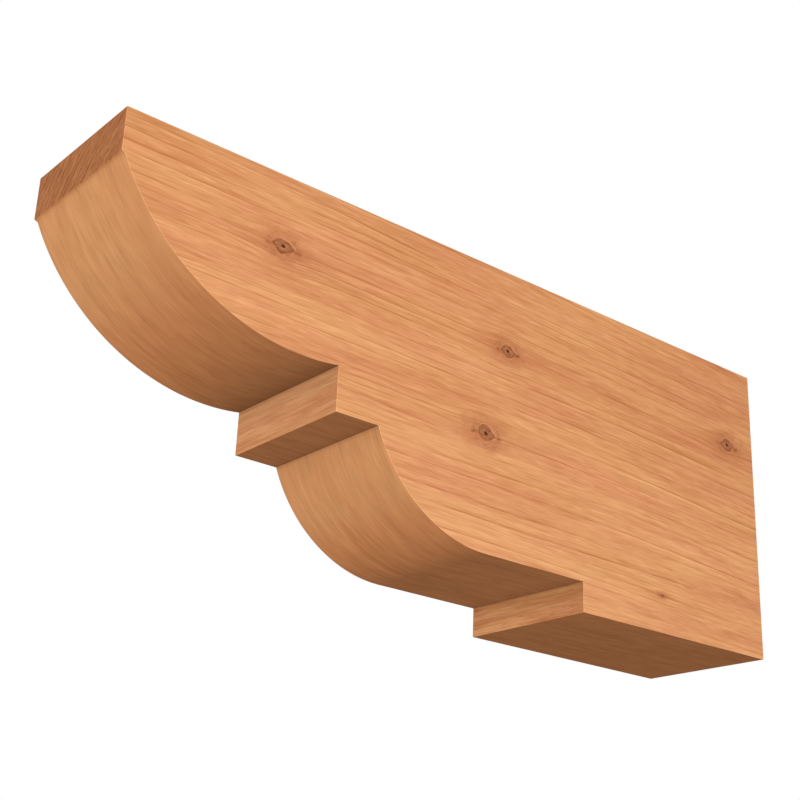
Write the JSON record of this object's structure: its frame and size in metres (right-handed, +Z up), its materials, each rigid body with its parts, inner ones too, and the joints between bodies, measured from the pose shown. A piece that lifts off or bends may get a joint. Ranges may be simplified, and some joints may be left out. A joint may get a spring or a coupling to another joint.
{
  "type": "rafter tail",
  "caption": "Carved wooden rafter tail: a level eaves block with a plumb nose, two rounded sweeps and a stepped heel along its underside, cut square at the wall end.",
  "frame": {"origin": "centre of the square-cut wall end", "axes": "+X out of the wall end towards the wall, so the nose points along -X; +Y across the block's width; +Z up"},
  "size_m": [0.457, 0.089, 0.184],
  "materials": {
    "cedar": "planed smooth, unpainted, satin"
  },
  "bodies": {
    "root": {"rafter_tail": "cedar"}
  },
  "joints": []
}
